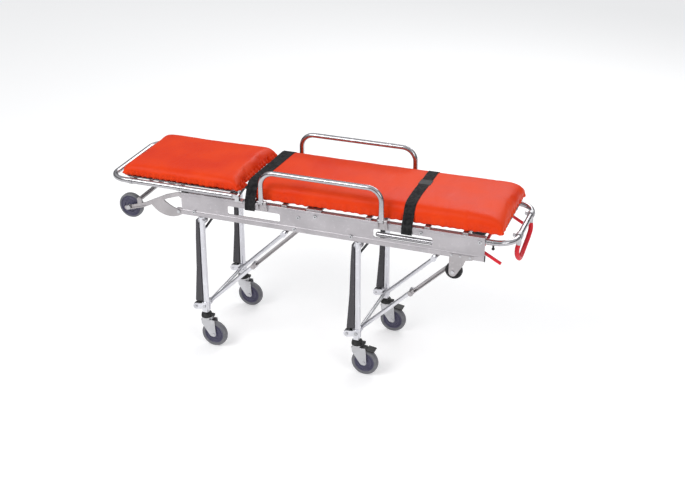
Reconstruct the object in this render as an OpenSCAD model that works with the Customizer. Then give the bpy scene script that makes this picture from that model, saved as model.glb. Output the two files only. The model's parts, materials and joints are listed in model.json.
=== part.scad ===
// Ambulance stretcher trolley with two folding leg sets. Millimetres, +Z up.
// The head end is at -X, the foot end at +X, and the near side is at -Y.
// The origin is on the floor, under the middle of the trolley.

/* [Side rails] */
// Head end of the two side rails
rail_head_x = -580; // [-590:1:-575]
// Foot end of the two side rails
rail_foot_x = 816; // [812:1:820]
// Underside of the side rails above the floor
rail_low_z = 667; // [666:1:669]
// Top of the side rails above the floor
rail_top_z = 778; // [777:1:778]
// Height of the slots cut through the rail webs
slot_h = 39; // [30:1:42]

/* [Leg sets] */
// Place of the head leg set along the trolley
head_leg_x = -495; // [-497:1:-490]
// Place of the foot leg set along the trolley
foot_leg_x = 251; // [247:1:255]
// Distance of each leg from the middle of the trolley
leg_y = 208; // [208:1:209]
// Radius of a leg tube
leg_r = 14; // [12:0.5:14]
// Height of the cross tube that the legs fold about
pivot_z = 640; // [638:1:640]
// Height of the lower axle that holds the folding struts
axle_z = 206; // [206:1:212]

/* [Casters] */
// Radius of a caster wheel
wheel_r = 62.5; // [60:0.5:62.5]
// Distance of the wheel axle behind the swivel axis
trail = 38; // [36:1:40]

/* [Cushions] */
// Half the width of both cushions
cushion_half = 222; // [215:1:222]
// Top of both cushions above the floor
cushion_top_z = 858; // [850:1:862]

/* [Tubes] */
// Radius of the bows and of the backrest tube
bow_r = 12.5; // [11:0.5:12.5]
// Radius of the side guard tubes
guard_r = 11.5; // [10:0.5:11.5]

/* [Hidden] */
$fn = 48;

// Fits
running_gap = 0.05;
eye_to_shank = 0.96;
side_gap = 0.4;

// Rail section, measured from the middle of the trolley
rail_y = 233;
web_in = 227;
web_out = 231;
bead_in = 219;
bead_top = 694;
flange_in = 203;
flange_low = 766;
slot_1 = [-354, -102];
slot_2 = [328, 590];
slot_low = 704;
bolt_r = 5;
rail_bolt_spots = [[63, 755], [-16, 739], [541, 755], [795, 755], [-518, 689], [228, 689], [-34, 681]];

// Bows and backrest
foot_bow_x = 934;
foot_bow_y = 214;
foot_bow_z = 755;
foot_bow_corner = 85;
foot_bow_start = 760;
buffer_x = 848;
head_bow_x = -937.5;
head_bow_y = 237.5;
head_bow_corner = 80;
hinge_x = -300;
hinge_z = 799;
backrest_rungs = [-825, -586];
rung_z = 795;
rung_r = 8;

// Cushions, deck and straps
deck_low_z = 786;
deck_top_z = 790;
mattress_low_z = 791;
mattress_x = [-238, 894];
cushion_low_z = 811;
cushion_x = [-880, -290];
cushion_slope = 44;
corner_r = 28;
bar_spots = [-215, -84, 303, 564, 730];
wide_bar_x = [19, 89];
bar_half = 12;
strap_t = 3;
chest_strap_x = [-250, -202];
leg_strap_x = [453, 501];

// Legs, struts and their planes
pivot_r = 9;
axle_r = 8;
boss_r = 16;
leg_top = 20;
leg_low_z = 168;
roller_back = 45;
roller_z = 200;
roller_r = 16;
roller_pin_r = 4;
cheek_in = 12.5;
stop_arm_y = 170;
hanger_bolt_z = 689;
hanger_back = 23;
hanger_y = [184, 190];
strut_top = [479, 674];
upper_strut_y = [182, 200];
lower_strut_y = 168;
lower_strut_r = 9.5;
strut_pin_r = 7;

// Casters
head_z = 146.3;
fork_in = 16;
fork_out = 19;
tyre_half = 13;
hub_half = 15.6;
caster_pin_r = 8;
wheel_pin_r = 5;
pedal_pivot = [18, 133];
pedal_pin_r = 3;

// Head loading wheels and foot auxiliary wheels
load_x = -852;
load_z = 660;
load_r = 59;
load_y = [187, 217];
load_pin_r = 6;
arm_y = [221, 227];
arm_line = [[-556, 738], [-594, 762], [-654, 742], [-716, 711], [-764, 686], [-866, 654]];
arm_w = 20;
arm_bar = [-798, 704];
aux_x = 685;
aux_z = 599;
aux_r = 38;
aux_y = [203, 225];
aux_pin_r = 5;

// Side guards
guard_x = [-184.5, 368];
guard_y = 243;
guard_pivot_z = 790;
guard_top_z = 935;
guard_corner = 62;
guard_pin_r = 4;
guard_eye_r = 10.5;

// Release levers
lever_x = 796;
lever_z = 710;
lever_y = 211;
lever_r = 7;
lever_hub_r = 11;
lever_tip = [884, 662];
lever_shaft_end = 226;

// Loop handle that hangs between two clamps on the foot bow, as points along Y and Z
clamp_y = 115;
clamp_r = 16.5;
clamp_half = 13;
loop_r = 9.5;
loop_top_z = 716;
loop_line = [[-115, 722], [-117, 694], [-110, 664], [-90, 640], [-58, 630], [-18, 636], [34, 653], [80, 679],
             [107, 702], [115, 722]];

// Backrest gas stay
stay_low = [-330, 735];
stay_high = [-720, 785];
stay_r = 10;
stay_rod_r = 4;
stay_body_l = 285;
stay_eye_r = 9;
stay_pin_r = 4;
stay_lug_y = [6, 10];
stay_bar_x = [-272, -248];
stay_rung_x = -744;

// ---- helpers ----
module both_sides() {
    children();
    mirror([0, 1, 0]) children();
}
module along_x(x0, x1) {
    translate([x0, 0, 0]) rotate([90, 0, 90]) linear_extrude(height = x1 - x0) children();
}
module along_y(y0, y1) {
    translate([0, y1, 0]) rotate([90, 0, 0]) linear_extrude(height = y1 - y0) children();
}
module block(x, y, z) {
    translate([x[0], y[0], z[0]]) cube([x[1] - x[0], y[1] - y[0], z[1] - z[0]]);
}
module rod_y(x, z, r, y0, y1) {
    translate([x, y0, z]) rotate([-90, 0, 0]) cylinder(r = r, h = y1 - y0);
}
module rod_x(y, z, r, x0, x1) {
    translate([x0, y, z]) rotate([0, 90, 0]) cylinder(r = r, h = x1 - x0);
}
module rod_z(x, y, r, z0, z1) {
    translate([x, y, z0]) cylinder(r = r, h = z1 - z0);
}
module rod_between(p, q, r) {
    d = q - p;
    translate(p)
        rotate([0, acos(d[2] / norm(d)), atan2(d[1], d[0])])
            cylinder(r = r, h = norm(d));
}
// Flat bar with round eyes a little wider than its shank, between two points of the X-Z plane
module flat_bar(p, q, w) {
    d = q - p;
    shank = w * eye_to_shank;
    translate(p) circle(r = w / 2);
    translate(q) circle(r = w / 2);
    translate(p) rotate(atan2(d[1], d[0])) translate([0, -shank / 2]) square([norm(d), shank]);
}
module rounded(x0, x1, y0, y1, r) {
    translate([x0 + r, y0]) square([x1 - x0 - 2 * r, y1 - y0]);
    translate([x0, y0 + r]) square([x1 - x0, y1 - y0 - 2 * r]);
    for (x = [x0 + r, x1 - r], y = [y0 + r, y1 - r]) translate([x, y]) circle(r = r);
}
// U of round tube in the X-Y plane: two legs along X, round corners, one cross run
module u_tube(leg, half, corner, r) {
    rod_y(leg, 0, r, corner - half, half - corner);
    both_sides() {
        rod_x(half, 0, r, 0, leg - corner);
        translate([leg - corner, half - corner, 0])
            rotate_extrude(angle = 90) translate([corner, 0]) circle(r = r);
    }
}
function strut_foot(x) = [x, axle_z];
function strut_head(x) = [x + strut_top[0], strut_top[1]];
function strut_knee(x) = (strut_foot(x) + strut_head(x)) / 2;

// ---- frame ----
module rail_section() {
    difference() {
        rounded(bead_in, rail_y, rail_low_z, bead_top, 6);
        rounded(bead_in + 3, rail_y - 3, rail_low_z + 3, bead_top - 3, 3.5);
    }
    translate([web_in, bead_top - 2]) square([web_out - web_in, flange_low + 4 - bead_top]);
    rounded(flange_in, rail_y, flange_low, rail_top_z, 3);
}
module side_rail() {
    difference() {
        along_x(rail_head_x, rail_foot_x) rail_section();
        for (s = [slot_1, slot_2])
            along_y(web_in - 1, web_out + 1) rounded(s[0], s[1], slot_low, slot_low + slot_h, 9);
        rod_x(foot_bow_y, foot_bow_z, bow_r + running_gap, foot_bow_start - 10, rail_foot_x + 5);
        for (p = rail_bolt_spots) rod_y(p[0], p[1], bolt_r + running_gap, bead_in - 1, rail_y + 1);
    }
}
module rail_near() {
    color("silver") mirror([0, 1, 0]) side_rail();
}
module rail_far() {
    color("silver") side_rail();
}
module rail_end_plugs() {
    color("dimgray") both_sides() {
        block([rail_foot_x, rail_foot_x + 3], [bead_in, rail_y], [rail_low_z, bead_top]);
        block([rail_head_x - 3, rail_head_x], [bead_in, rail_y], [rail_low_z, bead_top]);
        block([rail_head_x - 30, rail_head_x - 3], [arm_y[0] - 7, arm_y[0]], [rail_low_z, bead_top - 2]);
        block([rail_head_x - 3, rail_head_x], [arm_y[0] - 7, bead_in], [rail_low_z, bead_top - 2]);
    }
}
module rail_bolts() {
    color("lightgray") both_sides()
        for (p = rail_bolt_spots) {
            face = p[1] < bead_top ? rail_y : web_out;
            back = p[1] < bead_top ? bead_in : web_in;
            rod_y(p[0], p[1], bolt_r, back, face);
            rod_y(p[0], p[1], 8, face, face + 4);
        }
}
module cross_bars() {
    color("silver") {
        for (x = bar_spots) block([x - bar_half, x + bar_half], [-225, 225], [rail_top_z, deck_low_z]);
        block(wide_bar_x, [-225, 225], [rail_top_z, deck_low_z]);
    }
}
module deck_panel() {
    color("gainsboro")
        translate([0, 0, deck_low_z]) linear_extrude(height = deck_top_z - deck_low_z)
            rounded(mattress_x[0] + 6, mattress_x[1] - 14, -198, 198, 20);
}
module foot_bow() {
    color("silver") translate([foot_bow_start, 0, foot_bow_z])
        u_tube(foot_bow_x - foot_bow_start, foot_bow_y, foot_bow_corner, bow_r);
}
module handle_clamps() {
    color("gray") for (y = [-clamp_y, clamp_y])
        difference() {
            union() {
                rod_y(foot_bow_x, foot_bow_z, clamp_r, y - clamp_half, y + clamp_half);
                rod_z(foot_bow_x, y, 11.5, loop_top_z, foot_bow_z - 4);
                block([foot_bow_x - 27, foot_bow_x - 8], [y - 7, y + 7], [foot_bow_z - 3, foot_bow_z + 12]);
            }
            rod_y(foot_bow_x, foot_bow_z, bow_r + running_gap, y - 20, y + 20);
        }
}
module bow_buffers() {
    color("black") both_sides() {
        rod_z(buffer_x, foot_bow_y, 4, foot_bow_z - bow_r - 12, foot_bow_z - bow_r);
        rod_z(buffer_x, foot_bow_y, 6.5, foot_bow_z - bow_r - 20, foot_bow_z - bow_r - 12);
    }
}
module carry_tubes() {
    color("lightgray") both_sides() {
        rod_x(foot_bow_y, 712, 11, 345, 735);
        translate([345, foot_bow_y, 712]) sphere(r = 11);
    }
}
module hanger(x) {
    bolt = [x - hanger_back, hanger_bolt_z];
    difference() {
        union() {
            along_y(hanger_y[0], hanger_y[1]) {
                flat_bar(bolt, [x, pivot_z], 36);
                translate([x, pivot_z]) circle(r = 20);
            }
            along_y(hanger_y[0], bead_in) translate(bolt - [17, 12]) square([34, 24]);
        }
        rod_y(x, pivot_z, pivot_r + running_gap, hanger_y[0] - 1, hanger_y[1] + 1);
    }
}
module leg_hangers() {
    color("silver") both_sides() {
        hanger(head_leg_x);
        hanger(foot_leg_x);
    }
}
module strut_brackets() {
    color("silver") both_sides()
        for (x = [head_leg_x, foot_leg_x]) {
            p = strut_head(x);
            rod_y(p[0], p[1], strut_pin_r, upper_strut_y[0] - 4, 212);
            along_y(212, bead_in) rounded(p[0] - 16, p[0] + 30, p[1] - 9, p[1] + 14, 6);
            rod_y(p[0], p[1], 11, upper_strut_y[0] - 5, upper_strut_y[0] - side_gap);
        }
    // Bushings of the lever shaft, held by the rail webs
    color("silver") both_sides() difference() {
        rod_y(lever_x, lever_z, 12, lever_y + 8, web_in);
        rod_y(lever_x, lever_z, lever_r + running_gap, lever_y, web_in + 1);
    }
}
module load_arms() {
    color("silver") {
        both_sides() difference() {
            union() {
                along_y(arm_y[0], arm_y[1]) {
                    for (i = [0 : len(arm_line) - 2]) flat_bar(arm_line[i], arm_line[i + 1], arm_w);
                    gusset();
                }
                // Folded lower edge of the wheel arm
                along_y(arm_y[1], arm_y[1] + 4) {
                    flat_bar([-770, 676], [-858, 649], 5);
                }
            }
            rod_y(load_x, load_z, load_pin_r + running_gap, arm_y[0] - 1, arm_y[1] + 5);
            rod_y(-599, 676, bolt_r + running_gap, arm_y[0] - 1, arm_y[1] + 1);
        }
        rod_y(arm_bar[0], arm_bar[1], 10, -arm_y[0], arm_y[0]);
        both_sides() along_y(arm_y[0], arm_y[1]) flat_bar(arm_bar, [-796, 680], 22);
    }
}
// Crescent plate under each arm, between two round edges
module gusset() {
    difference() {
        translate([-645, 757]) circle(r = 111, $fn = 96);
        translate([-560, 850]) circle(r = 170, $fn = 96);
        polygon([[-800, 677], [-764, 686], [-716, 711], [-654, 742], [-600, 900], [-900, 900]]);
        translate([rail_head_x - 3, 600]) square([200, 300]);
    }
}
module wheel_bolts() {
    color("lightgray") both_sides() {
        rod_y(load_x, load_z, load_pin_r, load_y[0] - 6, arm_y[1] + 4);
        rod_y(load_x, load_z, 10, arm_y[1] + 4, arm_y[1] + 9);
        rod_y(load_x, load_z, 10, load_y[0] - 6, load_y[0] - side_gap);
        rod_y(load_x, load_z, 10, load_y[1] + side_gap, arm_y[0]);
        rod_y(-599, 676, bolt_r, arm_y[0], arm_y[1]);
        rod_y(-599, 676, 8, arm_y[1], arm_y[1] + 4);
        rod_y(aux_x, aux_z, aux_pin_r, aux_y[0] - 2.6, rail_y + 3);
        rod_y(aux_x, aux_z, 8, rail_y + 3, rail_y + 7);
        rod_y(aux_x, aux_z, 8, aux_y[1] + side_gap, rail_y);
        rod_y(aux_x, aux_z, 8, aux_y[0] - 2.6, aux_y[0] - side_gap);
        for (x = [aux_x - 8, aux_x + 30, aux_x + 72]) rod_y(x, 679, 5, rail_y + 3, rail_y + 6);
    }
}
module guard_brackets() {
    color("silver") both_sides() for (x = guard_x) {
        block([x - 17, x + 27], [rail_y, rail_y + 3], [748, 776]);
        for (s = [[x - 16, x - 13], [x + 13, x + 26]])
            along_x(s[0], s[1]) {
                translate([guard_y, guard_pivot_z]) circle(r = 9);
                polygon([[rail_y, 752], [rail_y + 7, 752], [guard_y + 9, 790], [guard_y - 9, 790], [rail_y, 777]]);
            }
        rod_x(guard_y, guard_pivot_z, guard_pin_r, x - 17, x + 26);
    }
}
module aux_forks() {
    color("silver") both_sides() difference() {
        along_y(rail_y, rail_y + 3) {
            translate([aux_x - 1, aux_z - 3]) circle(r = 16.6);
            polygon([[aux_x - 18, aux_z - 2], [aux_x + 16, aux_z - 8], [aux_x + 45, 640], [aux_x + 52, 661],
                     [aux_x + 83, 668], [aux_x + 87, 686], [aux_x - 18, 686]]);
        }
        rod_y(aux_x, aux_z, aux_pin_r + running_gap, rail_y - 1, rail_y + 4);
    }
}
module rest_blocks() {
    color("black") both_sides()
        block([-574, -546], [216, 238], [rail_top_z, hinge_z - bow_r - 0.2]);
}
module stay_bracket() {
    color("silver") difference() {
        union() {
            block(stay_bar_x, [-225, 225], [rail_top_z, deck_low_z]);
            for (y = [[-stay_r - 5, -stay_r - 1], [stay_r + 1, stay_r + 5]]) {
                along_y(y[0], y[1]) flat_bar(stay_low, [stay_bar_x[0] + 12, 772], 20);
                block(stay_bar_x, y, [768, rail_top_z + 1]);
            }
        }
        rod_y(stay_low[0], stay_low[1], stay_pin_r + running_gap, -30, 30);
    }
}
module cushion_block(x, z0, z1) {
    translate([0, 0, z0]) linear_extrude(height = z1 - z0)
        rounded(x[0], x[1], -cushion_half, cushion_half, corner_r);
}
module main_mattress() {
    color("orangered") cushion_block(mattress_x, mattress_low_z, cushion_top_z);
}
module strap(x) {
    top = cushion_top_z + 1;
    side = cushion_half + 2;
    out = rail_y + 1;
    inner = [[out, 741], [out, 782], [side, 797], [side, top]];
    outer = [[side, top + strap_t], [side + strap_t, top], [side + strap_t, 798],
             [out + strap_t, 783], [out + strap_t, 741]];
    along_x(x[0], x[1]) {
        for (s = [1, -1]) scale([s, 1]) {
            polygon(concat(inner, [[0, top]], [[0, top + strap_t]], outer));
            polygon([[rail_y - 8, 738], [out + strap_t, 738], [out + strap_t, 741], [rail_y - 8, 741]]);
        }
    }
}
module chest_strap() {
    color("black") strap(chest_strap_x);
}
module leg_strap() {
    color("black") strap(leg_strap_x);
}
module strap_buckle() {
    color("black") block([leg_strap_x[0] - 4, leg_strap_x[1] + 4], [12, 66],
                         [cushion_top_z + 4, cushion_top_z + 12]);
}

// ---- backrest ----
module backrest_frame() {
    color("silver") {
        translate([hinge_x, 0, hinge_z]) mirror([1, 0, 0])
            difference() {
                u_tube(hinge_x - head_bow_x, head_bow_y, head_bow_corner, bow_r);
                both_sides() block([-1, 24], [head_bow_y - 20, head_bow_y + 20], [-20, 20]);
            }
        both_sides() difference() {
            along_y(head_bow_y - 5, head_bow_y + 5) flat_bar([hinge_x, hinge_z], [hinge_x - 26, hinge_z], 22);
            rod_y(hinge_x, hinge_z, 5 + running_gap, head_bow_y - 6, head_bow_y + 6);
        }
        for (x = backrest_rungs) {
            rod_y(x, rung_z, rung_r, -head_bow_y, head_bow_y);
            both_sides() rod_x(head_bow_y, hinge_z, bow_r + 2, x - 8, x + 8);
        }
        // Lugs for the upper end of the stay
        rod_y(stay_rung_x, rung_z, rung_r, -head_bow_y, head_bow_y);
        for (y = [[-stay_lug_y[1], -stay_lug_y[0]], [stay_lug_y[0], stay_lug_y[1]]])
            along_y(y[0], y[1]) flat_bar([stay_rung_x, rung_z], stay_high, 17);
    }
}
module backrest_deck() {
    color("gainsboro") translate([0, 0, hinge_z + 5]) linear_extrude(height = 5)
        rounded(cushion_x[0] + 8, cushion_x[1] - 40, -212, 212, 30);
}
module head_cushion() {
    color("orangered") intersection() {
        cushion_block(cushion_x, cushion_low_z, cushion_top_z);
        along_y(-cushion_half - 1, cushion_half + 1)
            polygon([[cushion_x[0] - 1, 800], [cushion_x[1] + 2, cushion_low_z - 2],
                     [cushion_x[1] - cushion_slope, cushion_top_z], [cushion_x[1] - cushion_slope - 1, 880],
                     [cushion_x[0] - 1, 880]]);
    }
}
module backrest_hinges() {
    color("silver") both_sides() {
        for (y = [[head_bow_y - 11, head_bow_y - 5.4], [head_bow_y + 5.4, head_bow_y + 10]])
            along_y(y[0], y[1]) {
                translate([hinge_x, hinge_z]) circle(r = 11);
                translate([hinge_x - 9, rail_top_z + 3]) square([20, hinge_z - rail_top_z - 3]);
            }
        block([hinge_x - 14, hinge_x + 26], [head_bow_y - 22, head_bow_y + 10], [rail_top_z, rail_top_z + 4]);
        rod_y(hinge_x, hinge_z, 5, head_bow_y - 11, head_bow_y + 12);
    }
}
stay_dir = (stay_high - stay_low) / norm(stay_high - stay_low);
function stay_at(d) = stay_low + stay_dir * d;
function with_y(p) = [p[0], 0, p[1]];
module stay_cylinder() {
    color("dimgray") {
        difference() {
            union() {
                rod_between(with_y(stay_at(14)), with_y(stay_at(stay_body_l)), stay_r);
                along_y(-5, 5) flat_bar(stay_low, stay_at(20), 16);
            }
            rod_between(with_y(stay_at(40)), with_y(stay_at(stay_body_l + 1)), stay_rod_r + running_gap);
        }
        rod_y(stay_low[0], stay_low[1], stay_pin_r, -stay_r - 6, stay_r + 6);
    }
}
module stay_rod() {
    color("lightgray") {
        rod_between(with_y(stay_at(60)), with_y(stay_at(norm(stay_high - stay_low) - 6)), stay_rod_r);
        rod_y(stay_high[0], stay_high[1], stay_eye_r, -5.4, 5.4);
    }
}

// ---- side guards ----
module side_guard() {
    mid = (guard_x[0] + guard_x[1]) / 2;
    half = (guard_x[1] - guard_x[0]) / 2;
    difference() {
        union() {
            translate([mid, guard_y, guard_pivot_z]) rotate([0, 0, 90]) rotate([0, -90, 0])
                u_tube(guard_top_z - guard_pivot_z, half, guard_corner, guard_r);
            for (x = guard_x) rod_x(guard_y, guard_pivot_z, guard_eye_r, x - guard_r + 1, x + guard_r - 1);
        }
        for (x = guard_x) rod_x(guard_y, guard_pivot_z, guard_pin_r + running_gap, x - 30, x + 30);
    }
}
module side_guard_near() {
    color("lightgray") mirror([0, 1, 0]) side_guard();
}
module side_guard_far() {
    color("lightgray") side_guard();
}

// ---- leg sets ----
module legs(x) {
    color("lightgray") both_sides() difference() {
        union() {
            rod_z(x, leg_y, leg_r, leg_low_z, pivot_z + leg_top);
            rod_y(x, pivot_z, boss_r, leg_y - 16, leg_y + 12);
            // Stop arm that meets the frame when the leg stands upright
            along_y(stop_arm_y, stop_arm_y + 5) flat_bar([x, pivot_z - 50], [x + 44, pivot_z + 14], 11);
            rod_y(x, pivot_z - 50, 7, stop_arm_y, leg_y - leg_r + 4);
            for (y = [leg_y - leg_r - 6, leg_y + cheek_in])
                along_y(y, y + leg_r + 6 - cheek_in) {
                    flat_bar([x - roller_back, roller_z], [x, roller_z + 8], 30);
                    translate([x - 12, axle_z - 30]) square([24, 50]);
                }
        }
        rod_z(x, leg_y, leg_r - 2, leg_low_z - 1, pivot_z - boss_r + 2);
        rod_y(x, pivot_z, pivot_r + running_gap, leg_y - 30, leg_y + 10);
        rod_y(x, axle_z, axle_r + running_gap, leg_y - 30, leg_y + 30);
        rod_y(x - roller_back, roller_z, roller_pin_r + running_gap, leg_y - 30, leg_y + 30);
    }
}
module leg_guards(x) {
    color("dimgray") both_sides() difference() {
        along_y(leg_y - leg_r - 1, leg_y + leg_r + 1)
            polygon([[x - 10, 628], [x - 18, 650], [x - 23, 646], [x - 28, 560], [x - 33, 400],
                     [x - 46, 230], [x - 10, 230]]);
        rod_z(x, leg_y, leg_r + running_gap, 200, 700);
        rod_y(x, pivot_z, boss_r + 0.4, leg_y - 30, leg_y + 30);
    }
}
module pivot_tube(x) {
    color("dimgray") rod_y(x, pivot_z, pivot_r, -leg_y - 9.6, leg_y + 9.6);
}
module leg_axles(x) {
    color("gray") {
        rod_y(x, axle_z, axle_r, -leg_y - 24, leg_y + 24);
        both_sides() {
            rod_y(x, axle_z, 12, lower_strut_y + lower_strut_r + side_gap, leg_y - leg_r - 6.4);
            rod_y(x - roller_back, roller_z, roller_pin_r, leg_y - 22, leg_y + 22);
            rod_y(x - roller_back, roller_z, 8, leg_y + 20.4, leg_y + 24);
        }
    }
}
module rollers(x) {
    color("black") both_sides() difference() {
        rod_y(x - roller_back, roller_z, roller_r, leg_y - 12, leg_y + 12);
        rod_y(x - roller_back, roller_z, roller_pin_r + running_gap, leg_y - 13, leg_y + 13);
    }
}
module lower_struts(x) {
    foot = strut_foot(x);
    knee = strut_knee(x);
    d = (knee - foot) / norm(knee - foot);
    color("silver") both_sides() difference() {
        union() {
            translate([0, lower_strut_y, 0])
                rod_between(with_y(foot + d * 8), with_y(knee - d * 4), lower_strut_r);
            rod_y(foot[0], foot[1], 14, lower_strut_y - lower_strut_r, lower_strut_y + lower_strut_r);
            rod_y(knee[0], knee[1], 14, lower_strut_y - lower_strut_r, lower_strut_y + lower_strut_r);
        }
        rod_y(foot[0], foot[1], axle_r + running_gap, 100, 200);
    }
}
module upper_struts(x) {
    knee = strut_knee(x);
    head = strut_head(x);
    d = (head - knee) / norm(head - knee);
    color("gray") both_sides() {
        difference() {
            along_y(upper_strut_y[0], upper_strut_y[1]) {
                flat_bar(knee, head, 17);
                for (p = [knee, head]) translate(p) circle(r = 12);
            }
            along_y(upper_strut_y[0] + 4, upper_strut_y[1] + 1) flat_bar(knee + d * 26, head - d * 34, 9);
            rod_y(head[0], head[1], strut_pin_r + running_gap, 170, 210);
        }
        rod_y(knee[0], knee[1], 9, upper_strut_y[1], upper_strut_y[1] + 2.6);
    }
}
module head_legs() { legs(head_leg_x); }
module foot_legs() { legs(foot_leg_x); }
module head_leg_guards() { leg_guards(head_leg_x); }
module foot_leg_guards() { leg_guards(foot_leg_x); }
module head_pivot_tube() { pivot_tube(head_leg_x); }
module foot_pivot_tube() { pivot_tube(foot_leg_x); }
module head_leg_axles() { leg_axles(head_leg_x); }
module foot_leg_axles() { leg_axles(foot_leg_x); }
module head_rollers() { rollers(head_leg_x); }
module foot_rollers() { rollers(foot_leg_x); }
module head_lower_struts() { lower_struts(head_leg_x); }
module foot_lower_struts() { lower_struts(foot_leg_x); }
module head_upper_struts() { upper_struts(head_leg_x); }
module foot_upper_struts() { upper_struts(foot_leg_x); }

// ---- casters ----
module caster_head(x) {
    color("black") both_sides() difference() {
        union() {
            for (i = [0 : 3]) rod_z(x, leg_y, 21 - i, head_z + i * 5.5, head_z + i * 5.5 + 3.5);
            rod_z(x, leg_y, 17, head_z, leg_low_z);
            rod_z(x, leg_y, leg_r - 2 - running_gap, leg_low_z, leg_low_z + 24);
        }
        rod_z(x, leg_y, caster_pin_r + running_gap, head_z - 1, leg_low_z + 10);
    }
}
module caster_fork(x, side, brake) {
    color("lightgray") translate([x, side * leg_y, 0]) difference() {
        union() {
            rod_z(0, 0, 24, 137, 146);
            rod_z(0, 0, caster_pin_r, 137, 172);
            block([-22, 27], [-fork_out, fork_out], [131, 137.5]);
            for (y = [-fork_out, fork_in])
                along_y(y, y + fork_out - fork_in) {
                    polygon([[-22, 137], [27, 137], [31, 116], [trail + 11, wheel_r + 3],
                             [trail - 12, wheel_r - 3], [-10, 108], [-22, 131]]);
                    translate([trail, wheel_r]) circle(r = 12);
                }
            rod_y(trail, wheel_r, wheel_pin_r, -fork_out, fork_out);
            for (y = [-fork_out - 4, fork_out]) rod_y(trail, wheel_r, 8, y, y + 4);
        }
        if (brake) {
            rod_y(pedal_pivot[0], pedal_pivot[1] - 6, pedal_pin_r + running_gap, -30, 30);
            block([8, 30], [-fork_in + 1, fork_in - 1], [118, 138.2]);
        }
    }
}
module caster_wheel(x, side) {
    color("slategray") translate([x, side * leg_y, 0]) difference() {
        union() {
            rotate([90, 0, 0]) translate([trail, wheel_r, 0]) rotate_extrude($fn = 96) {
                square([wheel_r - 6, tyre_half - 2]);
                mirror([0, 1]) square([wheel_r - 6, tyre_half - 2]);
                translate([wheel_r - 16, -tyre_half]) square([12, 2 * tyre_half]);
                translate([wheel_r - 6, -tyre_half + 4]) square([6, 2 * tyre_half - 8]);
                translate([wheel_r - 4, tyre_half - 4]) circle(r = 4);
                translate([wheel_r - 4, -tyre_half + 4]) circle(r = 4);
            }
            rod_y(trail, wheel_r, 17, -hub_half, hub_half);
        }
        rod_y(trail, wheel_r, wheel_pin_r + running_gap, -30, 30);
    }
}
module brake_pedal(side) {
    p = pedal_pivot - [0, 6];
    color("black") translate([foot_leg_x, side * leg_y, 0]) {
        difference() {
            along_y(-14, 14) polygon([[10, 135.5], [48, 135.5], [50, 131], [30, 129], [10, 126.4]]);
            rod_y(trail, wheel_r, wheel_r + 2, -20, 20);
        }
        along_y(-22, 22) flat_bar([52, 133], [84, 128], 6);
        rod_y(p[0], p[1], pedal_pin_r, -fork_out, fork_out);
        rod_y(p[0], p[1], 4.5, -14, 14);
    }
}
module head_caster_heads() { caster_head(head_leg_x); }
module foot_caster_heads() { caster_head(foot_leg_x); }
module caster_fork_head_near() { caster_fork(head_leg_x, -1, false); }
module caster_fork_head_far() { caster_fork(head_leg_x, 1, false); }
module caster_fork_foot_near() { caster_fork(foot_leg_x, -1, true); }
module caster_fork_foot_far() { caster_fork(foot_leg_x, 1, true); }
module wheel_head_near() { caster_wheel(head_leg_x, -1); }
module wheel_head_far() { caster_wheel(head_leg_x, 1); }
module wheel_foot_near() { caster_wheel(foot_leg_x, -1); }
module wheel_foot_far() { caster_wheel(foot_leg_x, 1); }
module brake_pedal_near() { brake_pedal(-1); }
module brake_pedal_far() { brake_pedal(1); }

// ---- other wheels and hand controls ----
module plain_wheel(x, z, r, y, pin) {
    mid = (y[0] + y[1]) / 2;
    half = (y[1] - y[0]) / 2;
    translate([x, mid, z]) rotate([90, 0, 0]) difference() {
        rotate_extrude($fn = 96) {
            translate([0, -half]) square([r * 0.3, 2 * half]);
            translate([0, -half + 3]) square([r - 4, 2 * half - 6]);
            translate([r - 18, -half]) square([14, 2 * half]);
            translate([r - 4, -half + 4]) square([4, 2 * half - 8]);
            translate([r - 4, half - 4]) circle(r = 4);
            translate([r - 4, -half + 4]) circle(r = 4);
        }
        translate([0, 0, -half - 1]) cylinder(r = pin + running_gap, h = 2 * half + 2);
    }
}
module loading_wheels() {
    color("slategray") both_sides() plain_wheel(load_x, load_z, load_r, load_y, load_pin_r);
}
module aux_wheels() {
    color("black") both_sides() plain_wheel(aux_x, aux_z, aux_r, aux_y, aux_pin_r);
}
module loop_handle() {
    color("crimson") difference() {
        along_x(foot_bow_x - loop_r, foot_bow_x + loop_r)
            for (i = [0 : len(loop_line) - 2]) flat_bar(loop_line[i], loop_line[i + 1], 2 * loop_r);
        block([foot_bow_x - 20, foot_bow_x + 20], [-140, 140], [loop_top_z, loop_top_z + 30]);
    }
}
module release_levers() {
    pivot = [lever_x, lever_z];
    start = pivot + (lever_tip - pivot) / norm(lever_tip - pivot) * (lever_hub_r - 1.5);
    color("crimson") {
        rod_y(lever_x, lever_z, lever_r, -lever_shaft_end, lever_shaft_end);
        both_sides() {
            translate([0, lever_y, 0]) rod_between(with_y(start), with_y(lever_tip), lever_r);
            rod_y(lever_x, lever_z, lever_hub_r, lever_y - 7.5, lever_y + 7.5);
        }
    }
}

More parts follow.
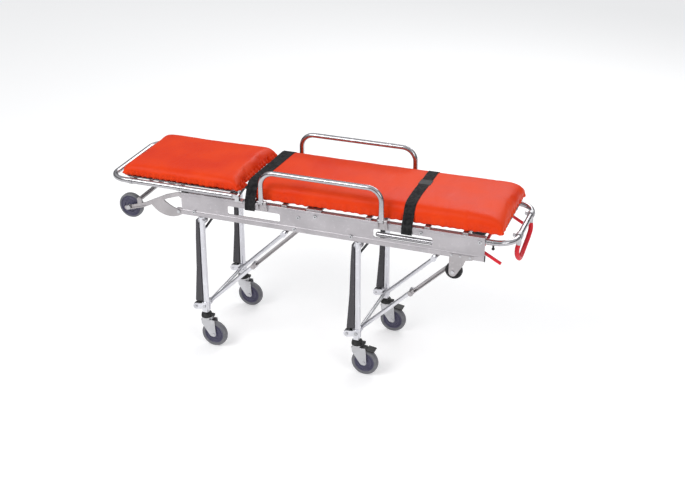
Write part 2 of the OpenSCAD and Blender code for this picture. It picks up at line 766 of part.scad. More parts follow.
rail_near();
rail_far();
rail_end_plugs();
rail_bolts();
cross_bars();
deck_panel();
foot_bow();
handle_clamps();
bow_buffers();
carry_tubes();
leg_hangers();
strut_brackets();
load_arms();
wheel_bolts();
guard_brackets();
aux_forks();
rest_blocks();
stay_bracket();
main_mattress();
chest_strap();
leg_strap();
strap_buckle();
backrest_frame();
backrest_deck();
head_cushion();
backrest_hinges();
stay_cylinder();
stay_rod();
side_guard_near();
side_guard_far();
head_legs();
head_leg_guards();
head_pivot_tube();
head_leg_axles();
head_rollers();
head_lower_struts();
head_upper_struts();
foot_legs();
foot_leg_guards();
foot_pivot_tube();
foot_leg_axles();
foot_rollers();
foot_lower_struts();
foot_upper_struts();
caster_fork_head_near();
caster_fork_head_far();
caster_fork_foot_near();
caster_fork_foot_far();
wheel_head_near();
wheel_head_far();
wheel_foot_near();
wheel_foot_far();
brake_pedal_near();
brake_pedal_far();
loading_wheels();
aux_wheels();
loop_handle();
release_levers();
head_caster_heads();
foot_caster_heads();
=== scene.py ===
# %% [markdown]
# # A folding ambulance stretcher trolley
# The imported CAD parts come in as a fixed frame: every part is already in its place, in metres.
# What is added here is what a nurse would notice: the padded mattress and its cover, the webbing, the
# smooth polished tubes, and the finish of every metal and plastic.

# %% Load the frame
import json
import math
import bmesh
import bpy
from mathutils import Matrix, Vector, noise
from mathutils.bvhtree import BVHTree

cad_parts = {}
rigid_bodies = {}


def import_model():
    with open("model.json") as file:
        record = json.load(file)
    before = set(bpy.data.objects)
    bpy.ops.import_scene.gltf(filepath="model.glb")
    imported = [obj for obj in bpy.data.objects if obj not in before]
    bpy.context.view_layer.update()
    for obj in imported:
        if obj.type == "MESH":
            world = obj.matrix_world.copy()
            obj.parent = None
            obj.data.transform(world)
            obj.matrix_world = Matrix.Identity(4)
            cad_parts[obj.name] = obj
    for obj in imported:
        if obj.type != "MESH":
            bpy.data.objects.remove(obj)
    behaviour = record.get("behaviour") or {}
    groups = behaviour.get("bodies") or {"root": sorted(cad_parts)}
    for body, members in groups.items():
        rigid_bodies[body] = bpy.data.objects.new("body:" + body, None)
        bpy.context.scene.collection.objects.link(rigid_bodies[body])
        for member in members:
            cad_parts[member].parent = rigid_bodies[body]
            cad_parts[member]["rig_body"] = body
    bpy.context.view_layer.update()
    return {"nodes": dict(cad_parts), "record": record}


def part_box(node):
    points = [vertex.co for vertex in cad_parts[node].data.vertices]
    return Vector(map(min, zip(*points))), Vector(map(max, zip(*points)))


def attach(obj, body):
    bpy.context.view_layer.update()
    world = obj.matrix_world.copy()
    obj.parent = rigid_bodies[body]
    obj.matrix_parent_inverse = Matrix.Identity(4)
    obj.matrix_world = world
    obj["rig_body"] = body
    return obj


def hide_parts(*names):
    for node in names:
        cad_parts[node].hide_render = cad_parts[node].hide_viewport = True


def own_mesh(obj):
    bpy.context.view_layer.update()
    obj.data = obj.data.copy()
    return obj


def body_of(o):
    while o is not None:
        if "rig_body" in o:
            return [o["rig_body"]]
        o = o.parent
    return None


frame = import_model()
nodes = frame["nodes"]

# %% [markdown]
# ## Camera, floor and light
# The trolley is seen from a little above and from beside its foot end. A long lens from five metres
# keeps the rails almost parallel. The floor is a plain pale sheet, and three large soft lamps give the
# polished tubes long clean highlights.

# %% Camera
def look_from(azimuth, elevation, distance, target):
    """A camera on a sphere round the target. Azimuth 0 looks along +Y."""
    a, e = math.radians(azimuth), math.radians(elevation)
    back = Vector((math.sin(a) * math.cos(e), -math.cos(a) * math.cos(e), math.sin(e)))
    camera = bpy.data.objects.new("camera", bpy.data.cameras.new("camera"))
    bpy.context.scene.collection.objects.link(camera)
    camera.location = target + back * distance
    camera.rotation_mode = "QUATERNION"
    camera.rotation_quaternion = (-back).to_track_quat("-Z", "Y")
    return camera


middle_of_view = Vector((0.105, 0.0, 0.5435))
camera = look_from(20.0, 26.0, 5.66, middle_of_view)
camera.data.sensor_width = 36.0
camera.data.lens = 65.5
camera.data.clip_end = 60.0
bpy.context.scene.camera = camera
print("camera", [round(v, 3) for v in camera.location])

# %% Floor and lamps
floor_mesh = bpy.data.meshes.new("floor")
reach = 24.0
floor_mesh.from_pydata([(-reach, -reach, 0), (reach, -reach, 0), (reach, reach, 0), (-reach, reach, 0)], [],
                       [(0, 1, 2, 3)])
floor = bpy.data.objects.new("floor", floor_mesh)
bpy.context.scene.collection.objects.link(floor)


def soft_lamp(name, place, aim, size, watts):
    """A rectangular area lamp that looks at a point."""
    light = bpy.data.lights.new(name, "AREA")
    light.shape = "RECTANGLE"
    light.size, light.size_y = size
    light.energy = watts
    lamp = bpy.data.objects.new(name, light)
    lamp.location = place
    lamp.rotation_mode = "QUATERNION"
    lamp.rotation_quaternion = (Vector(aim) - Vector(place)).to_track_quat("-Z", "Y")
    bpy.context.scene.collection.objects.link(lamp)


soft_lamp("key_lamp", (-2.2, -3.4, 4.4), (0, 0, 0.6), (3.0, 2.2), 120)
soft_lamp("fill_lamp", (3.8, -2.6, 2.6), (0.2, 0, 0.6), (2.2, 2.2), 40)
soft_lamp("back_lamp", (0.6, 3.8, 3.4), (0, 0, 0.6), (3.4, 1.6), 62)

# The studio round the trolley: white above, dim near the ground, so that each tube gets a dark edge
world = bpy.data.worlds.new("studio")
bpy.context.scene.world = world
world.use_nodes = True
sky = world.node_tree
background = sky.nodes["Background"]
direction = sky.nodes.new("ShaderNodeTexCoord")
direction.label = "Direction"
height = sky.nodes.new("ShaderNodeSeparateXYZ")
height.label = "How high"
walls = sky.nodes.new("ShaderNodeValToRGB")
walls.label = "Dim low, white high"
walls.color_ramp.elements[0].position = 0.10
walls.color_ramp.elements[0].color = (0.04, 0.04, 0.045, 1)
walls.color_ramp.elements[1].position = 0.62
walls.color_ramp.elements[1].color = (0.97, 0.98, 1.0, 1)
for part, x in ((direction, -700), (height, -500), (walls, -300)):
    part.location = (x, 0)
sky.links.new(direction.outputs["Generated"], height.inputs["Vector"])
sky.links.new(height.outputs["Z"], walls.inputs["Fac"])
sky.links.new(walls.outputs["Color"], background.inputs["Color"])
background.inputs["Strength"].default_value = 0.70
bpy.context.scene.view_settings.view_transform = "Standard"

# %% [markdown]
# ## Metals
# Four metals make up the trolley. The rails, plates and legs are anodised aluminium with fine lines
# along the direction they were drawn or rolled. The bows, guards and rods are polished tube, and the
# bolts and forks are zinc-plated steel. One function makes them all: lines stretched along one axis
# drive a small bump and the roughness, a slow cloud dulls the surface as handling does, and small pale
# rubs brighten it. A single grey would look like paint, so each effect varies over the part.

# %% Start a material
def start_material(name, colour):
    """A node material as Blender makes it: a shader that is linked to the surface output."""
    material = bpy.data.materials.new(name)
    material.use_nodes = True
    material.diffuse_color = (*colour, 1)
    tree = material.node_tree
    shader, out = tree.nodes["Principled BSDF"], tree.nodes["Material Output"]
    shader.label, out.label = name.replace("_", " "), "Surface"
    shader.location, out.location = (-100, 60), (200, 60)
    return material, tree, shader


# %% Metal
def metal(name, colour, roughness, lines, line_depth, haze):
    """Metal with drawn lines. lines is the pattern's scale along X, Y and Z."""
    material, tree, shader = start_material(name, colour)

    place = tree.nodes.new("ShaderNodeTexCoord")
    place.label = "Place on the part"
    stretch = tree.nodes.new("ShaderNodeMapping")
    stretch.label = "Stretch along the draw"
    stretch.inputs["Scale"].default_value = lines
    drawn = tree.nodes.new("ShaderNodeTexNoise")
    drawn.label = "Drawn lines"
    drawn.inputs["Scale"].default_value = 1.0
    drawn.inputs["Detail"].default_value = 4.0
    cloud = tree.nodes.new("ShaderNodeTexNoise")
    cloud.label = "Handling haze"
    cloud.inputs["Scale"].default_value = 9.0
    cloud.inputs["Detail"].default_value = 3.0
    rubs = tree.nodes.new("ShaderNodeTexNoise")
    rubs.label = "Small rubs"
    rubs.inputs["Scale"].default_value = 70.0
    rubs.inputs["Detail"].default_value = 5.0

    tone = tree.nodes.new("ShaderNodeValToRGB")
    tone.label = "Haze to colour"
    tone.color_ramp.elements[0].position = 0.3
    tone.color_ramp.elements[0].color = (*[c * (1 - haze * 0.5) for c in colour], 1)
    tone.color_ramp.elements[1].position = 0.7
    tone.color_ramp.elements[1].color = (*colour, 1)
    bright = tree.nodes.new("ShaderNodeMix")
    bright.label = "Rubbed brighter"
    bright.data_type = "RGBA"
    bright.inputs[7].default_value = (*[min(1, c * 1.12) for c in colour], 1)
    rub_mask = tree.nodes.new("ShaderNodeMapRange")
    rub_mask.label = "Only the strongest rubs"
    rub_mask.inputs["From Min"].default_value = 0.58
    rub_mask.inputs["From Max"].default_value = 0.75
    dull = tree.nodes.new("ShaderNodeMapRange")
    dull.label = "Haze to roughness"
    dull.inputs["From Min"].default_value = 0.3
    dull.inputs["From Max"].default_value = 0.7
    dull.inputs["To Min"].default_value = roughness * (1 + haze)
    dull.inputs["To Max"].default_value = roughness
    line_rough = tree.nodes.new("ShaderNodeMath")
    line_rough.label = "Lines scatter the gloss"
    line_rough.operation = "MULTIPLY_ADD"
    line_rough.inputs[1].default_value = roughness * 0.35
    bump = tree.nodes.new("ShaderNodeBump")
    bump.label = "Line depth"
    bump.inputs["Strength"].default_value = line_depth
    bump.inputs["Distance"].default_value = 0.0004
    shader.inputs["Metallic"].default_value = 1.0

    finish = tree.nodes.new("NodeFrame")
    finish.label = "Drawn or rolled finish"
    for part in (stretch, drawn, line_rough, bump):
        part.parent = finish
    wear = tree.nodes.new("NodeFrame")
    wear.label = "Handling and wear"
    for part in (cloud, rubs, tone, bright, rub_mask, dull):
        part.parent = wear
    for part, x, y in (
        (place, -1300, 0), (stretch, -1100, -320), (drawn, -900, -320), (cloud, -1100, 160),
        (rubs, -1100, 420), (tone, -700, 160), (rub_mask, -900, 420), (bright, -400, 300),
        (dull, -700, -60), (line_rough, -400, -120), (bump, -400, -360),
    ):
        part.location = (x, y)

    tree.links.new(place.outputs["Object"], stretch.inputs["Vector"])
    tree.links.new(place.outputs["Object"], cloud.inputs["Vector"])
    tree.links.new(place.outputs["Object"], rubs.inputs["Vector"])
    tree.links.new(stretch.outputs["Vector"], drawn.inputs["Vector"])
    tree.links.new(cloud.outputs["Fac"], tone.inputs["Fac"])
    tree.links.new(cloud.outputs["Fac"], dull.inputs["Value"])
    tree.links.new(rubs.outputs["Fac"], rub_mask.inputs["Value"])
    tree.links.new(rub_mask.outputs["Result"], bright.inputs[0])
    tree.links.new(tone.outputs["Color"], bright.inputs[6])
    tree.links.new(drawn.outputs["Fac"], line_rough.inputs[0])
    tree.links.new(dull.outputs["Result"], line_rough.inputs[2])
    tree.links.new(drawn.outputs["Fac"], bump.inputs["Height"])
    tree.links.new(bright.outputs[2], shader.inputs["Base Color"])
    tree.links.new(line_rough.outputs["Value"], shader.inputs["Roughness"])
    tree.links.new(bump.outputs["Normal"], shader.inputs["Normal"])
    return material


# %% The metals of this trolley
satin_rail = metal("satin_rail", (0.53, 0.505, 0.525), 0.36, (6, 900, 900), 0.25, 0.25)
satin_sheet = metal("satin_frame", (0.50, 0.475, 0.485), 0.34, (60, 500, 500), 0.2, 0.3)
leg_metal = metal("leg_tube", (0.76, 0.76, 0.80), 0.26, (700, 700, 8), 0.2, 0.25)
bright_tube = metal("bright_tube", (0.52, 0.51, 0.53), 0.15, (30, 30, 30), 0.03, 0.5)
zinc = metal("zinc", (0.62, 0.62, 0.64), 0.28, (150, 150, 150), 0.12, 0.45)
print("metals", [m.name for m in (satin_rail, satin_sheet, leg_metal, bright_tube, zinc)])

# %% [markdown]
# ## Plastic, rubber and paint
# The knee guards, castor heads and plugs are moulded with a fine spark texture. The handles are dipped
# in soft red plastic, and the gas stay is painted black. They share one make-up: a fine pebble for the
# texture, a slow mottle in the colour and pale scuffs. Rubber differs by its dust, so it has its own.

# %% Moulded plastic and paint
def moulded(name, colour, roughness, pebble, depth, scuff, coat=0.0):
    """Plastic or paint. pebble is the scale of its texture, and scuff is how pale its marks are."""
    material, tree, shader = start_material(name, colour)

    place = tree.nodes.new("ShaderNodeTexCoord")
    place.label = "Place on the part"
    grain = tree.nodes.new("ShaderNodeTexNoise")
    grain.label = "Mould texture"
    grain.inputs["Scale"].default_value = pebble
    grain.inputs["Detail"].default_value = 2.0
    mottle = tree.nodes.new("ShaderNodeTexNoise")
    mottle.label = "Uneven colour"
    mottle.inputs["Scale"].default_value = 14.0
    mottle.inputs["Detail"].default_value = 4.0
    marks = tree.nodes.new("ShaderNodeTexNoise")
    marks.label = "Scuff places"
    marks.inputs["Scale"].default_value = 38.0
    marks.inputs["Detail"].default_value = 8.0
    marks.inputs["Roughness"].default_value = 0.7
    tone = tree.nodes.new("ShaderNodeValToRGB")
    tone.label = "Mottle to colour"
    tone.color_ramp.elements[0].position = 0.32
    tone.color_ramp.elements[0].color = (*[c * 0.82 for c in colour], 1)
    tone.color_ramp.elements[1].position = 0.68
    tone.color_ramp.elements[1].color = (*colour, 1)
    mark_mask = tree.nodes.new("ShaderNodeMapRange")
    mark_mask.label = "Only a few scuffs"
    mark_mask.inputs["From Min"].default_value = 0.6
    mark_mask.inputs["From Max"].default_value = 0.72
    mark_mask.inputs["To Max"].default_value = scuff
    scuffed = tree.nodes.new("ShaderNodeMix")
    scuffed.label = "Paler where scuffed"
    scuffed.data_type = "RGBA"
    scuffed.inputs[7].default_value = (*[min(1, c * 0.7 + 0.16) for c in colour], 1)
    gloss = tree.nodes.new("ShaderNodeMapRange")
    gloss.label = "Mottle to roughness"
    gloss.inputs["From Min"].default_value = 0.3
    gloss.inputs["From Max"].default_value = 0.7
    gloss.inputs["To Min"].default_value = roughness * 0.85
    gloss.inputs["To Max"].default_value = min(1, roughness * 1.15)
    bump = tree.nodes.new("ShaderNodeBump")
    bump.label = "Texture depth"
    bump.inputs["Strength"].default_value = depth
    bump.inputs["Distance"].default_value = 0.0006
    shader.inputs["Coat Weight"].default_value = coat
    shader.inputs["Coat Roughness"].default_value = 0.12

    texture = tree.nodes.new("NodeFrame")
    texture.label = "Mould texture"
    for part in (grain, bump):
        part.parent = texture
    use = tree.nodes.new("NodeFrame")
    use.label = "Colour, scuffs and gloss"
    for part in (mottle, marks, tone, mark_mask, scuffed, gloss):
        part.parent = use
    for part, x, y in (
        (place, -1200, 0), (grain, -950, -340), (mottle, -950, 120), (marks, -950, 380),
        (tone, -700, 120), (mark_mask, -700, 380), (scuffed, -400, 260), (gloss, -700, -120),
        (bump, -400, -340),
    ):
        part.location = (x, y)

    for pattern in (grain, mottle, marks):
        tree.links.new(place.outputs["Object"], pattern.inputs["Vector"])
    tree.links.new(mottle.outputs["Fac"], tone.inputs["Fac"])
    tree.links.new(mottle.outputs["Fac"], gloss.inputs["Value"])
    tree.links.new(marks.outputs["Fac"], mark_mask.inputs["Value"])
    tree.links.new(mark_mask.outputs["Result"], scuffed.inputs[0])
    tree.links.new(tone.outputs["Color"], scuffed.inputs[6])
    tree.links.new(grain.outputs["Fac"], bump.inputs["Height"])
    tree.links.new(scuffed.outputs[2], shader.inputs["Base Color"])
    tree.links.new(gloss.outputs["Result"], shader.inputs["Roughness"])
    tree.links.new(bump.outputs["Normal"], shader.inputs["Normal"])
    return material


# %% Rubber
def rubber(name, colour, dust, dust_from, dust_to):
    """Rubber with dust. The dust starts where the patch noise passes dust_from and is full at dust_to."""
    material, tree, shader = start_material(name, colour)

    place = tree.nodes.new("ShaderNodeTexCoord")
    place.label = "Place on the part"
    skin = tree.nodes.new("ShaderNodeTexNoise")
    skin.label = "Moulded skin"
    skin.inputs["Scale"].default_value = 700.0
    skin.inputs["Detail"].default_value = 3.0
    patches = tree.nodes.new("ShaderNodeTexNoise")
    patches.label = "Dust patches"
    patches.inputs["Scale"].default_value = 45.0
    patches.inputs["Detail"].default_value = 6.0
    patch_mask = tree.nodes.new("ShaderNodeMapRange")
    patch_mask.label = "How much dust"
    patch_mask.inputs["From Min"].default_value = dust_from
    patch_mask.inputs["From Max"].default_value = dust_to
    patch_mask.inputs["To Max"].default_value = dust
    dusty = tree.nodes.new("ShaderNodeMix")
    dusty.label = "Dust over rubber"
    dusty.data_type = "RGBA"
    dusty.inputs[6].default_value = (*colour, 1)
    dusty.inputs[7].default_value = (*[c * 0.5 + 0.17 for c in colour], 1)
    dry = tree.nodes.new("ShaderNodeMapRange")
    dry.label = "Dust is dull"
    dry.inputs["To Min"].default_value = 0.5
    dry.inputs["To Max"].default_value = 0.85
    bump = tree.nodes.new("ShaderNodeBump")
    bump.label = "Skin depth"
    bump.inputs["Strength"].default_value = 0.25
    bump.inputs["Distance"].default_value = 0.0005
    shader.inputs["Specular IOR Level"].default_value = 0.35

    skin_frame = tree.nodes.new("NodeFrame")
    skin_frame.label = "Rubber skin"
    for part in (skin, bump):
        part.parent = skin_frame
    dust_frame = tree.nodes.new("NodeFrame")
    dust_frame.label = "Dust"
    for part in (patches, patch_mask, dusty, dry):
        part.parent = dust_frame
    for part, x, y in (
        (place, -1100, 0), (skin, -850, -300), (patches, -850, 160), (patch_mask, -600, 160),
        (dusty, -350, 220), (dry, -350, -20), (bump, -350, -300),
    ):
        part.location = (x, y)

    for pattern in (skin, patches):
        tree.links.new(place.outputs["Object"], pattern.inputs["Vector"])
    tree.links.new(patches.outputs["Fac"], patch_mask.inputs["Value"])
    tree.links.new(patch_mask.outputs["Result"], dusty.inputs[0])
    tree.links.new(patch_mask.outputs["Result"], dry.inputs["Value"])
    tree.links.new(skin.outputs["Fac"], bump.inputs["Height"])
    tree.links.new(dusty.outputs[2], shader.inputs["Base Color"])
    tree.links.new(dry.outputs["Result"], shader.inputs["Roughness"])
    tree.links.new(bump.outputs["Normal"], shader.inputs["Normal"])
    return material


# %% The plastics, paint and rubbers of this trolley
black_plastic = moulded("black_plastic", (0.012, 0.012, 0.013), 0.5, 900, 0.3, 0.5)
guard_plastic = moulded("guard_plastic", (0.058, 0.055, 0.064), 0.5, 700, 0.35, 0.5)
# dark_paint is the gas stay's black paint; it is also used as painted shade in the bolt sockets and inside
# the legs
dark_paint = moulded("dark_paint", (0.03, 0.03, 0.033), 0.3, 250, 0.08, 0.5, 0.3)
red_handle = moulded("red_handle", (0.74, 0.001, 0.016), 0.45, 160, 0.12, 0.1)
wheel_centre = moulded("wheel_centre", (0.075, 0.070, 0.125), 0.38, 800, 0.2, 0.5)
grey_tyre = rubber("caster_tyre", (0.150, 0.150, 0.165), 0.6, 0.45, 0.75)
black_rubber = rubber("black_rubber", (0.016, 0.016, 0.017), 0.35, 0.5, 0.8)
pale_floor = bpy.data.materials.new("floor_paper")
pale_floor.use_nodes = True
paper = pale_floor.node_tree.nodes["Principled BSDF"]
paper.label = "White paper sweep"
paper.location = (0, 0)
paper.inputs["Base Color"].default_value = (0.86, 0.86, 0.86, 1)
paper.inputs["Roughness"].default_value = 0.9
paper.inputs["Specular IOR Level"].default_value = 0.0
paper.inputs["Emission Color"].default_value = (1, 1, 1, 1)
paper.inputs["Emission Strength"].default_value = 0.28
floor.data.materials.append(pale_floor)
print("plastics and rubbers", [m.name for m in (black_plastic, guard_plastic, dark_paint, red_handle)])

# %% [markdown]
# ## Coated cloth and webbing
# The mattress cover is nylon with a soft red coating. From near, a fine plain weave prints through it,
# long creases run where it is pulled round the foam, and it shines a little at the crown. The weave is
# two sets of fine waves at right angles. The straps are black webbing: ribs across the strap and a
# twill that slants, laid out in the strap's own UV map so that they follow every bend.

# %% Coated cloth
def coated_cloth(name, colour, shade):
    """Woven nylon with a smooth coating. shade is the darker colour where the coating is uneven."""
    material, tree, shader = start_material(name, colour)

    place = tree.nodes.new("ShaderNodeTexCoord")
    place.label = "Place on the cover"
    warp = tree.nodes.new("ShaderNodeTexWave")
    warp.label = "Warp threads"
    warp.bands_direction = "X"
    warp.inputs["Scale"].default_value = 260.0
    warp.inputs["Distortion"].default_value = 0.6
    weft = tree.nodes.new("ShaderNodeTexWave")
    weft.label = "Weft threads"
    weft.bands_direction = "Y"
    weft.inputs["Scale"].default_value = 260.0
    weft.inputs["Distortion"].default_value = 0.6
    weave = tree.nodes.new("ShaderNodeMath")
    weave.label = "Threads cross"
    weave.operation = "MULTIPLY"
    weave_bump = tree.nodes.new("ShaderNodeBump")
    weave_bump.label = "Weave prints through"
    weave_bump.inputs["Strength"].default_value = 0.18
    weave_bump.inputs["Distance"].default_value = 0.0003
    pull = tree.nodes.new("ShaderNodeMapping")
    pull.label = "Creases run across"
    pull.inputs["Scale"].default_value = (22, 7, 30)
    crease = tree.nodes.new("ShaderNodeTexNoise")
    crease.label = "Soft creases"
    crease.inputs["Scale"].default_value = 1.0
    crease.inputs["Detail"].default_value = 5.0
    crease.inputs["Distortion"].default_value = 0.8
    crease_bump = tree.nodes.new("ShaderNodeBump")
    crease_bump.label = "Crease depth"
    crease_bump.inputs["Strength"].default_value = 0.35
    crease_bump.inputs["Distance"].default_value = 0.006
    cloud = tree.nodes.new("ShaderNodeTexNoise")
    cloud.label = "Uneven coating"
    cloud.inputs["Scale"].default_value = 6.0
    cloud.inputs["Detail"].default_value = 5.0
    tone = tree.nodes.new("ShaderNodeValToRGB")
    tone.label = "Coating colour"
    tone.color_ramp.elements[0].position = 0.3
    tone.color_ramp.elements[0].color = (*shade, 1)
    tone.color_ramp.elements[1].position = 0.62
    tone.color_ramp.elements[1].color = (*colour, 1)
    gloss = tree.nodes.new("ShaderNodeMapRange")
    gloss.label = "Worn or glossy"
    gloss.inputs["From Min"].default_value = 0.3
    gloss.inputs["From Max"].default_value = 0.7
    gloss.inputs["To Min"].default_value = 0.36
    gloss.inputs["To Max"].default_value = 0.5
    shader.inputs["Sheen Weight"].default_value = 0.02
    shader.inputs["Sheen Roughness"].default_value = 0.4
    shader.inputs["Specular IOR Level"].default_value = 0.14

    cloth = tree.nodes.new("NodeFrame")
    cloth.label = "Plain weave"
    for part in (warp, weft, weave, weave_bump):
        part.parent = cloth
    pulled = tree.nodes.new("NodeFrame")
    pulled.label = "Creases"
    for part in (pull, crease, crease_bump):
        part.parent = pulled
    coating = tree.nodes.new("NodeFrame")
    coating.label = "Coating"
    for part in (cloud, tone, gloss):
        part.parent = coating
    for part, x, y in (
        (place, -1400, 0), (warp, -1150, -500), (weft, -1150, -800), (weave, -900, -600),
        (weave_bump, -400, -500), (pull, -1150, -180), (crease, -900, -180), (crease_bump, -650, -260),
        (cloud, -1150, 260), (tone, -800, 260), (gloss, -800, 40),
    ):
        part.location = (x, y)

    for pattern in (warp, weft, pull, cloud):
        tree.links.new(place.outputs["Object"], pattern.inputs["Vector"])
    tree.links.new(warp.outputs["Fac"], weave.inputs[0])
    tree.links.new(weft.outputs["Fac"], weave.inputs[1])
    tree.links.new(weave.outputs["Value"], weave_bump.inputs["Height"])
    tree.links.new(pull.outputs["Vector"], crease.inputs["Vector"])
    tree.links.new(crease.outputs["Fac"], crease_bump.inputs["Height"])
    tree.links.new(crease_bump.outputs["Normal"], weave_bump.inputs["Normal"])
    tree.links.new(cloud.outputs["Fac"], tone.inputs["Fac"])
    tree.links.new(cloud.outputs["Fac"], gloss.inputs["Value"])
    tree.links.new(tone.outputs["Color"], shader.inputs["Base Color"])
    tree.links.new(gloss.outputs["Result"], shader.inputs["Roughness"])
    tree.links.new(weave_bump.outputs["Normal"], shader.inputs["Normal"])
    return material


# %% Webbing
def woven_strap(name, colour):
    """Webbing. Its UV map runs in metres: U across the strap and V along it."""
    material, tree, shader = start_material(name, colour)

    lay = tree.nodes.new("ShaderNodeTexCoord")
    lay.label = "Along and across the strap"
    ribs = tree.nodes.new("ShaderNodeTexWave")
    ribs.label = "Ribs across"
    ribs.bands_direction = "Y"
    ribs.inputs["Scale"].default_value = 115.0
    ribs.inputs["Distortion"].default_value = 0.5
    twill_turn = tree.nodes.new("ShaderNodeMapping")
    twill_turn.label = "Slant of the twill"
    twill_turn.inputs["Rotation"].default_value = (0, 0, math.radians(40))
    twill = tree.nodes.new("ShaderNodeTexWave")
    twill.label = "Twill"
    twill.bands_direction = "X"
    twill.inputs["Scale"].default_value = 160.0
    weave = tree.nodes.new("ShaderNodeMath")
    weave.label = "Ribs and twill"
    weave.operation = "ADD"
    fuzz = tree.nodes.new("ShaderNodeTexNoise")
    fuzz.label = "Fuzz and fading"
    fuzz.inputs["Scale"].default_value = 60.0
    fuzz.inputs["Detail"].default_value = 6.0
    tone = tree.nodes.new("ShaderNodeValToRGB")
    tone.label = "Thread colour"
    tone.color_ramp.elements[0].position = 0.35
    tone.color_ramp.elements[0].color = (*colour, 1)
    tone.color_ramp.elements[1].position = 0.75
    tone.color_ramp.elements[1].color = (*[c + 0.03 for c in colour], 1)
    bump = tree.nodes.new("ShaderNodeBump")
    bump.label = "Thread height"
    bump.inputs["Strength"].default_value = 0.6
    bump.inputs["Distance"].default_value = 0.0005
    shader.inputs["Roughness"].default_value = 0.62
    shader.inputs["Sheen Weight"].default_value = 0.01
    shader.inputs["Specular IOR Level"].default_value = 0.12

    threads = tree.nodes.new("NodeFrame")
    threads.label = "Weave"
    for part in (ribs, twill_turn, twill, weave, bump):
        part.parent = threads
    age = tree.nodes.new("NodeFrame")
    age.label = "Fuzz and fading"
    for part in (fuzz, tone):
        part.parent = age
    for part, x, y in (
        (lay, -1300, 0), (ribs, -900, -60), (twill_turn, -1100, -400), (twill, -900, -400),
        (weave, -650, -200), (fuzz, -900, 260), (tone, -600, 260), (bump, -400, -200),
    ):
        part.location = (x, y)

    tree.links.new(lay.outputs["UV"], ribs.inputs["Vector"])
    tree.links.new(lay.outputs["UV"], twill_turn.inputs["Vector"])
    tree.links.new(lay.outputs["Object"], fuzz.inputs["Vector"])
    tree.links.new(twill_turn.outputs["Vector"], twill.inputs["Vector"])
    tree.links.new(ribs.outputs["Fac"], weave.inputs[0])
    tree.links.new(twill.outputs["Fac"], weave.inputs[1])
    tree.links.new(fuzz.outputs["Fac"], tone.inputs["Fac"])
    tree.links.new(weave.outputs["Value"], bump.inputs["Height"])
    tree.links.new(tone.outputs["Color"], shader.inputs["Base Color"])
    tree.links.new(bump.outputs["Normal"], shader.inputs["Normal"])
    return material


# %% The cloths of this trolley
cover = coated_cloth("mattress_vinyl", (0.84, 0.056, 0.006), (0.75, 0.036, 0.004))
webbing = woven_strap("webbing", (0.008, 0.008, 0.009))
print("cloths", cover.name, webbing.name)

# %% [markdown]
# ## Finish of each CAD part
# A CAD part whose shape is right keeps its mesh and gets its finish from the slot the record gives it.

# %% Finishes by slot
finish_of_slot = {
    "satin_rail": satin_rail, "satin_frame": satin_sheet, "leg_tube": leg_metal, "bright_tube": bright_tube,
    "zinc": zinc, "dark_paint": dark_paint, "black_plastic": black_plastic, "guard_plastic": guard_plastic,
    "black_rubber": black_rubber, "caster_tyre": grey_tyre, "mattress_vinyl": cover, "webbing": webbing,
    "red_handle": red_handle,
}
slot_of_node = {part["node"]: part["material_slot"] for part in frame["record"]["subparts"]}
for name, part in nodes.items():
    part.data.materials.clear()
    part.data.materials.append(finish_of_slot[slot_of_node[name]])
print("finished", len(nodes), "CAD parts")
# %% [markdown]
# ## Metal and moulded parts with soft edges
# Cast, sheared and moulded parts never have a knife edge. The CAD parts have the right shape, so each
# gets a copy whose loose triangles are joined, whose flat faces are made whole again and whose edges
# are rounded by a small bevel. Round tubes in it are shaded smoothly. The bevel is what catches the
# light along the rails and round the plates.

# %% Show a piece in place of CAD parts
def stands_for(piece, *names):
    """piece rides on the body of the CAD nodes it is shown for."""
    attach(piece, body_of(nodes[names[0]])[0])
    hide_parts(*names)
    return piece


def add_object(name, data, finish):
    """A new object at the origin, with one finish."""
    piece = bpy.data.objects.new(name, data)
    bpy.context.scene.collection.objects.link(piece)
    data.materials.clear()
    data.materials.append(finish)
    return piece


def round_edges(piece, width, segments, corner=30.0, flat=False):
    """A live bevel on edges sharper than corner degrees. flat keeps the faces beside it flat in shading."""
    soften = piece.modifiers.new("rounded edges", "BEVEL")
    soften.width = width
    soften.segments = segments
    soften.limit_method = "ANGLE"
    soften.angle_limit = math.radians(corner)
    soften.harden_normals = flat


def bake(piece):
    """Replaces a piece's mesh by what its stack makes of it."""
    bpy.context.view_layer.update()
    made = bpy.data.meshes.new_from_object(piece.evaluated_get(bpy.context.evaluated_depsgraph_get()))
    piece.modifiers.clear()
    piece.data = made


join_distance = 0.00002


def eased(node, width, segments=2, corner=35.0):
    """A copy of a CAD node with joined faces and edges rounded by width metres."""
    mesh = nodes[node].data.copy()
    work = bmesh.new()
    work.from_mesh(mesh)
    bmesh.ops.remove_doubles(work, verts=work.verts, dist=join_distance)
    bmesh.ops.dissolve_limit(work, angle_limit=math.radians(0.3), verts=work.verts, edges=work.edges)
    for face in work.faces:
        face.smooth = True
    work.to_mesh(mesh)
    work.free()
    mesh.set_sharp_from_angle(angle=math.radians(corner))
    finish = finish_of_slot[slot_of_node[node]]
    piece = add_object("soft_" + node, mesh, finish)
    round_edges(piece, width, segments, corner, True)
    return stands_for(piece, node)


